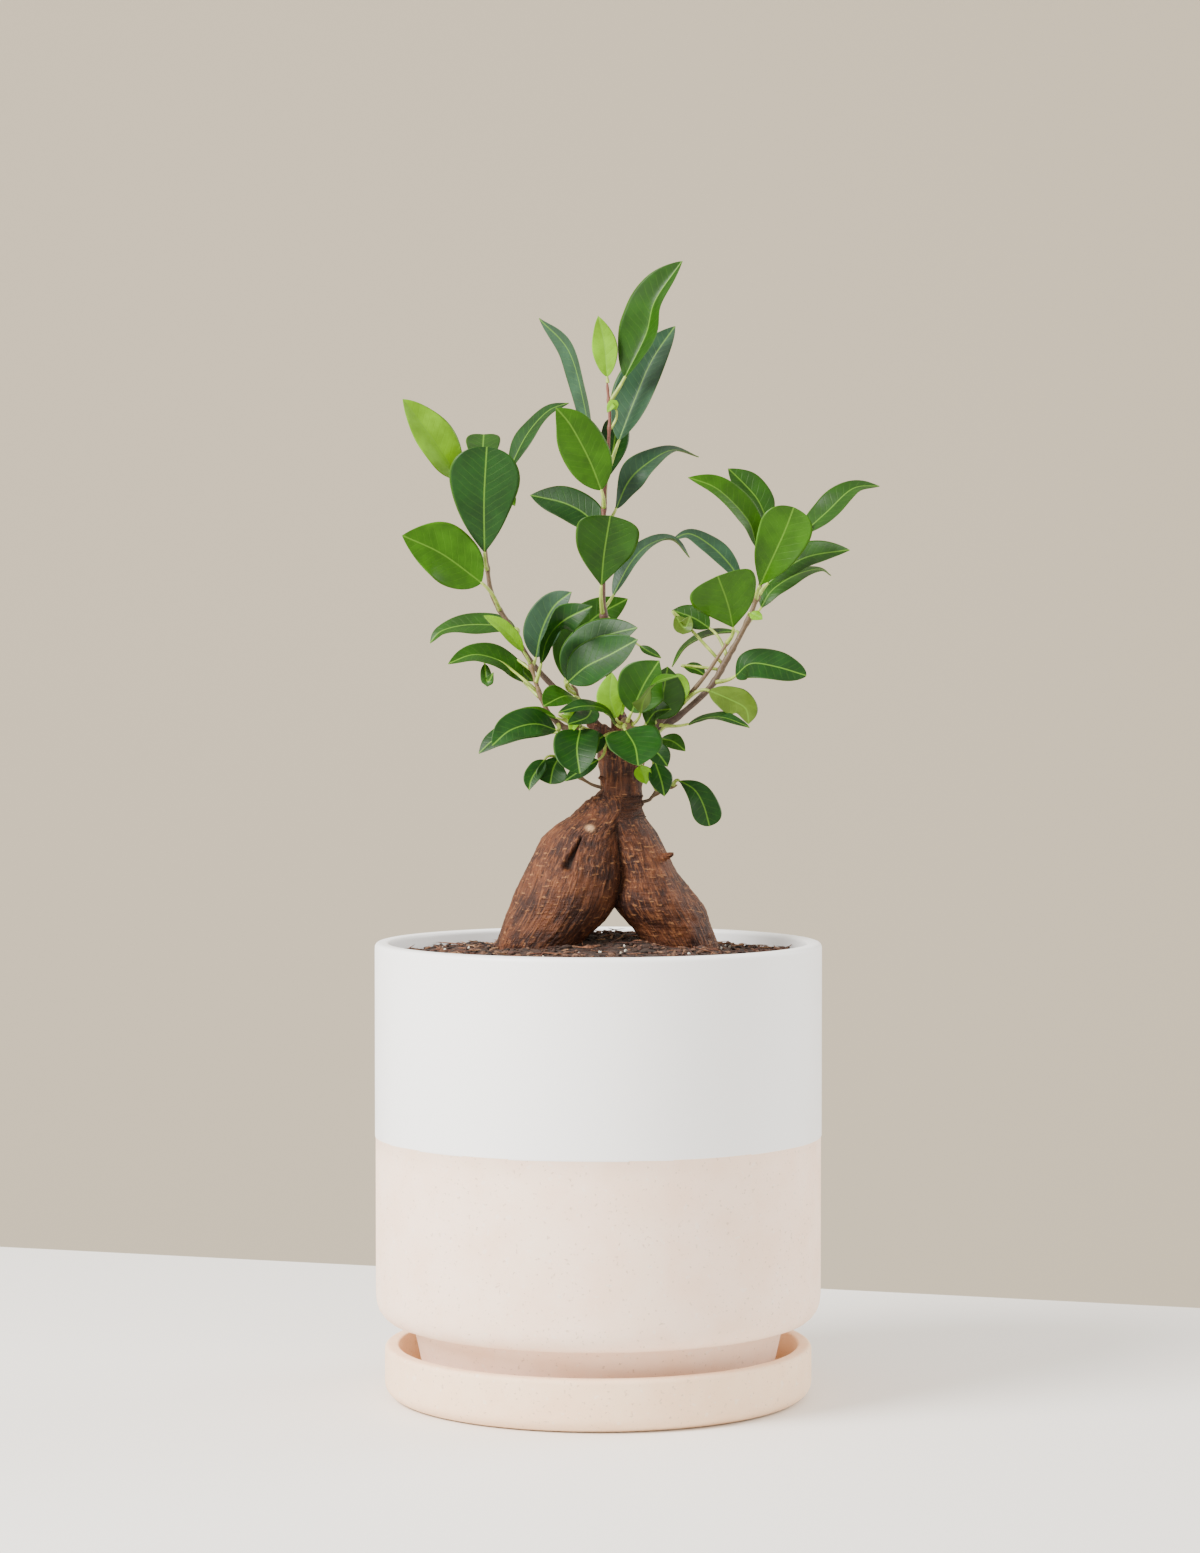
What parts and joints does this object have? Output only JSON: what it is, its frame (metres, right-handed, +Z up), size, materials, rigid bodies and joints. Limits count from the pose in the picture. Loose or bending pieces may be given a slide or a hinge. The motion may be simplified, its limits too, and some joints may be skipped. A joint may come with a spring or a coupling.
{
  "type": "potted ginseng ficus bonsai",
  "caption": "Small ginseng ficus bonsai with a two-legged root trunk and glossy leaves, in a two-tone glazed and bare clay cylinder pot on a round clay saucer.",
  "frame": {"origin": "centre of the saucer's flat underside, on the pot's axis", "axes": "+Z up the pot's axis towards the tree, -Y towards the viewer of the front, +X to that viewer's right"},
  "size_m": [0.17, 0.15, 0.3801],
  "materials": {
    "saucer_clay": "matt bare fired clay, pale blush, fine pits",
    "pot_ceramic": "satin white glaze on the upper part, bare blush clay below",
    "soil": "dark brown potting soil with bark fibres",
    "bark": "red-brown ficus root bark with ring marks",
    "shoot_bark": "thin brown shoot bark, green near the tips",
    "leaf": "waxy green leaf with pale midrib and margin"
  },
  "bodies": {
    "root": {"saucer": "saucer_clay", "pot": "pot_ceramic", "soil": "soil", "root_trunk": "bark", "shoot_left": "shoot_bark", "shoot_left_front": "shoot_bark", "shoot_middle": "shoot_bark", "shoot_centre": "shoot_bark", "shoot_front": "shoot_bark", "shoot_right": "shoot_bark", "shoot_right_front": "shoot_bark", "twig_left": "shoot_bark", "twig_right": "shoot_bark", "leaf_left_1": "leaf", "leaf_left_2": "leaf", "leaf_left_3": "leaf", "leaf_left_4": "leaf", "leaf_left_5": "leaf", "leaf_left_6": "leaf", "leaf_left_7": "leaf", "leaf_left_8": "leaf", "leaf_top_1": "leaf", "leaf_top_2": "leaf", "leaf_top_3": "leaf", "leaf_top_4": "leaf", "leaf_top_5": "leaf", "leaf_top_6": "leaf", "leaf_top_7": "leaf", "leaf_top_8": "leaf", "leaf_top_9": "leaf", "leaf_middle_1": "leaf", "leaf_middle_2": "leaf", "leaf_middle_3": "leaf", "leaf_middle_4": "leaf", "leaf_middle_5": "leaf", "leaf_middle_6": "leaf", "leaf_low_1": "leaf", "leaf_low_2": "leaf", "leaf_low_3": "leaf", "leaf_low_4": "leaf", "leaf_low_5": "leaf", "leaf_low_6": "leaf", "leaf_low_7": "leaf", "leaf_low_8": "leaf", "leaf_low_9": "leaf", "leaf_low_10": "leaf", "leaf_low_11": "leaf", "leaf_right_1": "leaf", "leaf_right_2": "leaf", "leaf_right_3": "leaf", "leaf_right_4": "leaf", "leaf_right_5": "leaf", "leaf_right_6": "leaf", "leaf_right_7": "leaf", "leaf_right_8": "leaf", "leaf_right_9": "leaf", "leaf_right_10": "leaf", "leaf_right_11": "leaf", "leaf_right_12": "leaf", "leaf_right_13": "leaf"}
  },
  "joints": []
}
